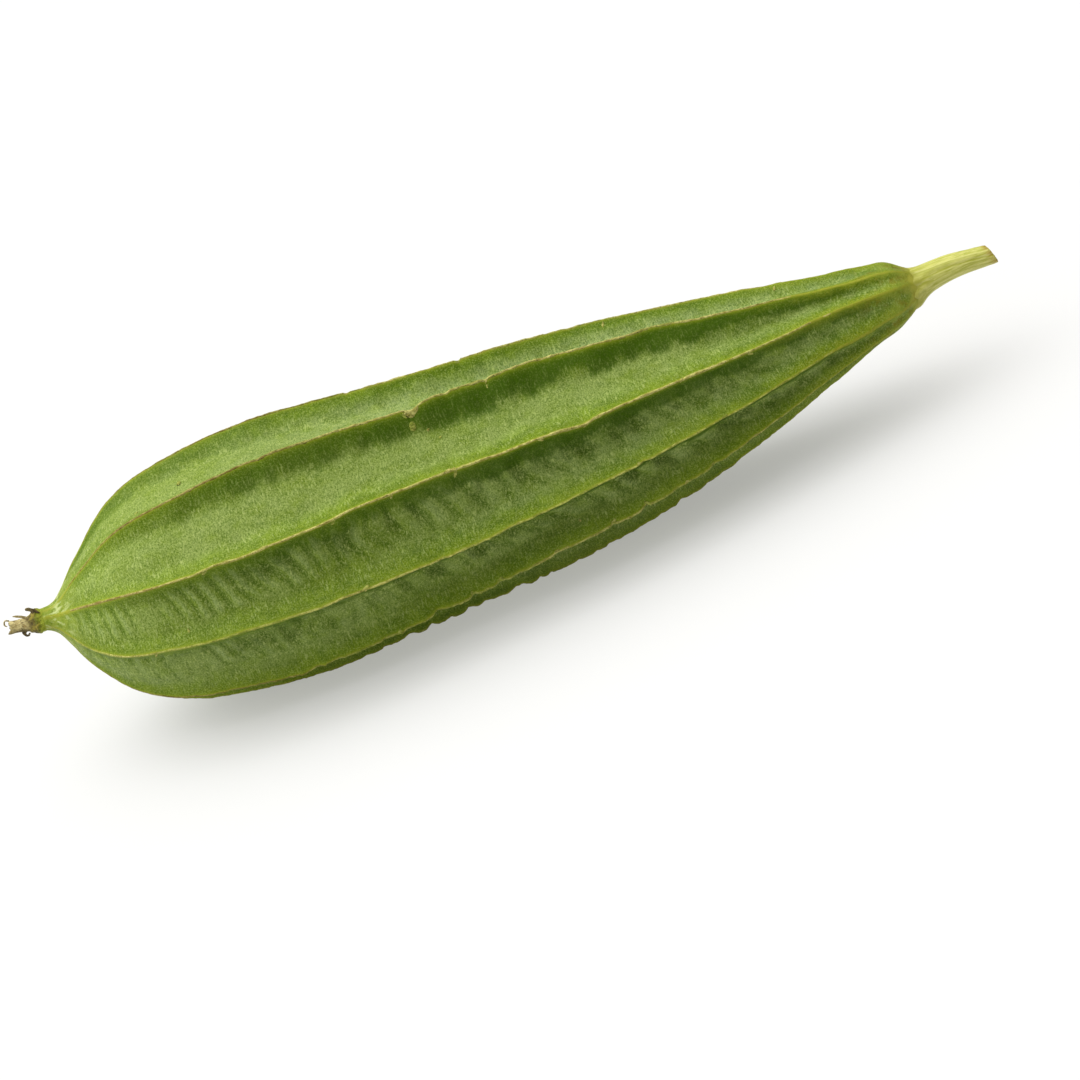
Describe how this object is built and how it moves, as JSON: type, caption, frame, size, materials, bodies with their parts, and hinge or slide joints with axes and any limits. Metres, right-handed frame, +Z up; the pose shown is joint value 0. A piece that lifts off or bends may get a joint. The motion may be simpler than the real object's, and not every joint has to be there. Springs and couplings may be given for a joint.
{
  "type": "ridge gourd",
  "caption": "Whole club-shaped ridge gourd with sharp lengthwise ridges and hollow grooves, a cut stem at the narrow end and the dried flower at the blunt end, lying on its side.",
  "frame": {"origin": "on the surface the gourd lies on, under the middle of its box", "axes": "+X along the gourd from its dried flower to its cut stem, +Z up, -Y the side that faces the camera"},
  "size_m": [0.2496, 0.0632, 0.0601],
  "materials": {
    "skin": "matt green rind with fine pale flecks and tan ridge lines",
    "stem": "yellow-green fibrous cut stem",
    "dried_flower": "dry brown wrinkled flower base"
  },
  "bodies": {
    "root": {"fruit": "skin", "stem": "stem", "dried_flower": "dried_flower"}
  },
  "joints": []
}
